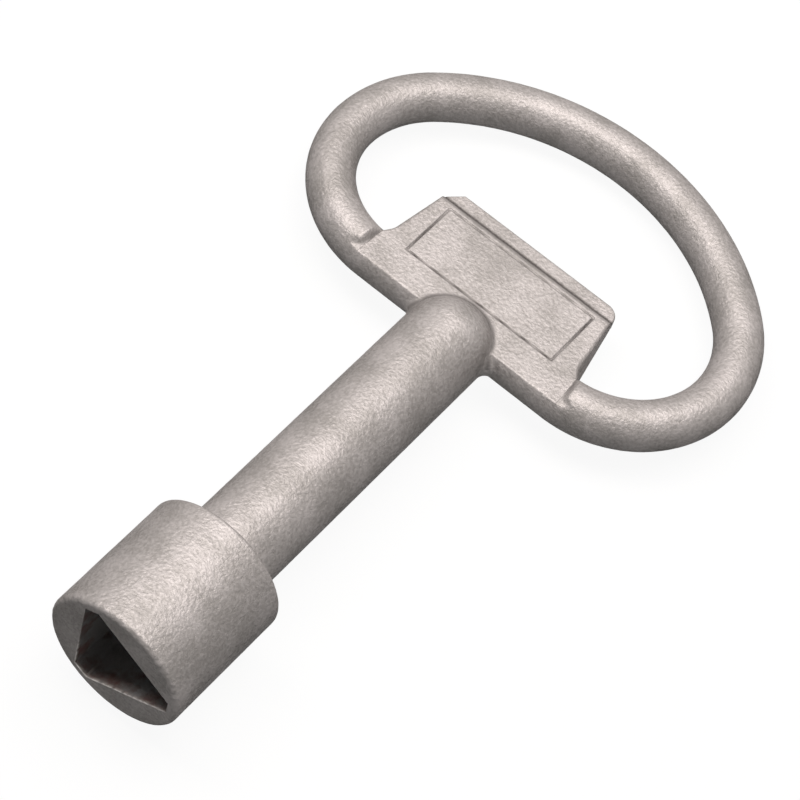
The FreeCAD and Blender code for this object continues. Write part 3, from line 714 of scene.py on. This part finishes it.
# ------------------------------------------------------------------- stage
# The key lies on a pale table, on the head's lower side and the far end of
# the ring.  The table is matt white card to the eye, and clear from below.
TABLE_HALF = 1.2
TABLE_GAP = 0.05
head_rest_y = HEAD_LENGTH - SHOULDER_ROUND
table_rise = (HEAD_R - ROD_R) / (TOP_Y - head_rest_y)
table_mesh = bpy.data.meshes.new("table")
table_corners = []
for x, y in ((-1, -1), (1, -1), (1, 1), (-1, 1)):
    level = -(HEAD_R + TABLE_GAP) * MM + (y * TABLE_HALF - head_rest_y * MM) * table_rise
    table_corners.append((x * TABLE_HALF, y * TABLE_HALF, level))
table_mesh.from_pydata(table_corners, [], [(0, 1, 2, 3)])
table = bpy.data.objects.new("table", table_mesh)
bpy.context.scene.collection.objects.link(table)


def seen_by_eye(tree):
    """1 where the eye sees a thing straight, in a gloss or through glass."""
    rays = add(tree, "ShaderNodeLightPath")
    seen = add(tree, "ShaderNodeMath",
               {0: rays.outputs["Is Camera Ray"], 1: rays.outputs["Is Glossy Ray"]},
               operation="MAXIMUM")
    return add(tree, "ShaderNodeMath",
               {0: seen.outputs[0], 1: rays.outputs["Is Transmission Ray"]},
               operation="MAXIMUM")


card = bpy.data.materials.new("pale_table")
card.use_nodes = True
tree = card.node_tree
tree.nodes.clear()
seen = seen_by_eye(tree)
tint = add(tree, "ShaderNodeMix", {"Factor": seen.outputs[0], "A": linear("#404040"),
                                   "B": linear("#F4F4F4")}, data_type="RGBA")
lit = add(tree, "ShaderNodeBsdfDiffuse", {"Color": tint.outputs["Result"]})
white = add(tree, "ShaderNodeEmission", {"Color": linear("#FFFFFF"), "Strength": 1.0})
share = add(tree, "ShaderNodeMath", {0: seen.outputs[0], 1: 0.93}, operation="MULTIPLY")
top = add(tree, "ShaderNodeMixShader",
          {0: share.outputs[0], 1: lit.outputs["BSDF"], 2: white.outputs["Emission"]})
under = add(tree, "ShaderNodeBsdfTransparent")
side = add(tree, "ShaderNodeNewGeometry")
both = add(tree, "ShaderNodeMixShader",
           {0: side.outputs["Backfacing"], 1: top.outputs["Shader"], 2: under.outputs["BSDF"]})
add(tree, "ShaderNodeOutputMaterial", {"Surface": both.outputs["Shader"]})
table_mesh.materials.append(card)

world = bpy.data.worlds.new("studio")
bpy.context.scene.world = world
world.use_nodes = True
tree = world.node_tree
tree.nodes.clear()
seen = seen_by_eye(tree)
room = add(tree, "ShaderNodeBackground", {"Color": linear("#F4F6FA"), "Strength": 0.01})
paper = add(tree, "ShaderNodeBackground", {"Color": linear("#FFFFFF"), "Strength": 1.0})
mixed = add(tree, "ShaderNodeMixShader",
            {0: seen.outputs[0], 1: room.outputs["Background"], 2: paper.outputs["Background"]})
add(tree, "ShaderNodeOutputWorld", {"Surface": mixed.outputs["Shader"]})


def softbox(name, place, across, power):
    """A flat square soft lamp that faces the middle of the key."""
    lamp = bpy.data.lights.new(name, "AREA")
    lamp.shape = "RECTANGLE"
    lamp.size = across
    lamp.size_y = across
    lamp.energy = power
    lamp.color = linear("#FFF9F6")[:3]
    holder = bpy.data.objects.new(name, lamp)
    holder.location = Vector(place) * MM
    middle = Vector((0, 50, 0)) * MM
    holder.rotation_euler = (middle - holder.location).to_track_quat("-Z", "Y").to_euler()
    bpy.context.scene.collection.objects.link(holder)


softbox("overhead", (25, 137, 492), 0.34, 2.52)
softbox("left_side", (-235, 30, 440), 0.2, 1.3)

# ------------------------------------------------------------------ camera
# Looks down on the ring's flat side from beside the mouth, with a long lens.
eye = bpy.data.cameras.new("eye")
eye.sensor_width = 36.0
eye.lens = 128.4
eye.clip_start = 0.01
camera = bpy.data.objects.new("eye", eye)
camera.location = (72.92 * MM, -123.20 * MM, 271.53 * MM)
camera.rotation_euler = [math.radians(d) for d in (32.938, -10.639, 38.575)]
bpy.context.scene.collection.objects.link(camera)
bpy.context.scene.camera = camera
bpy.context.scene.view_settings.view_transform = "Standard"

bpy.context.view_layer.update()
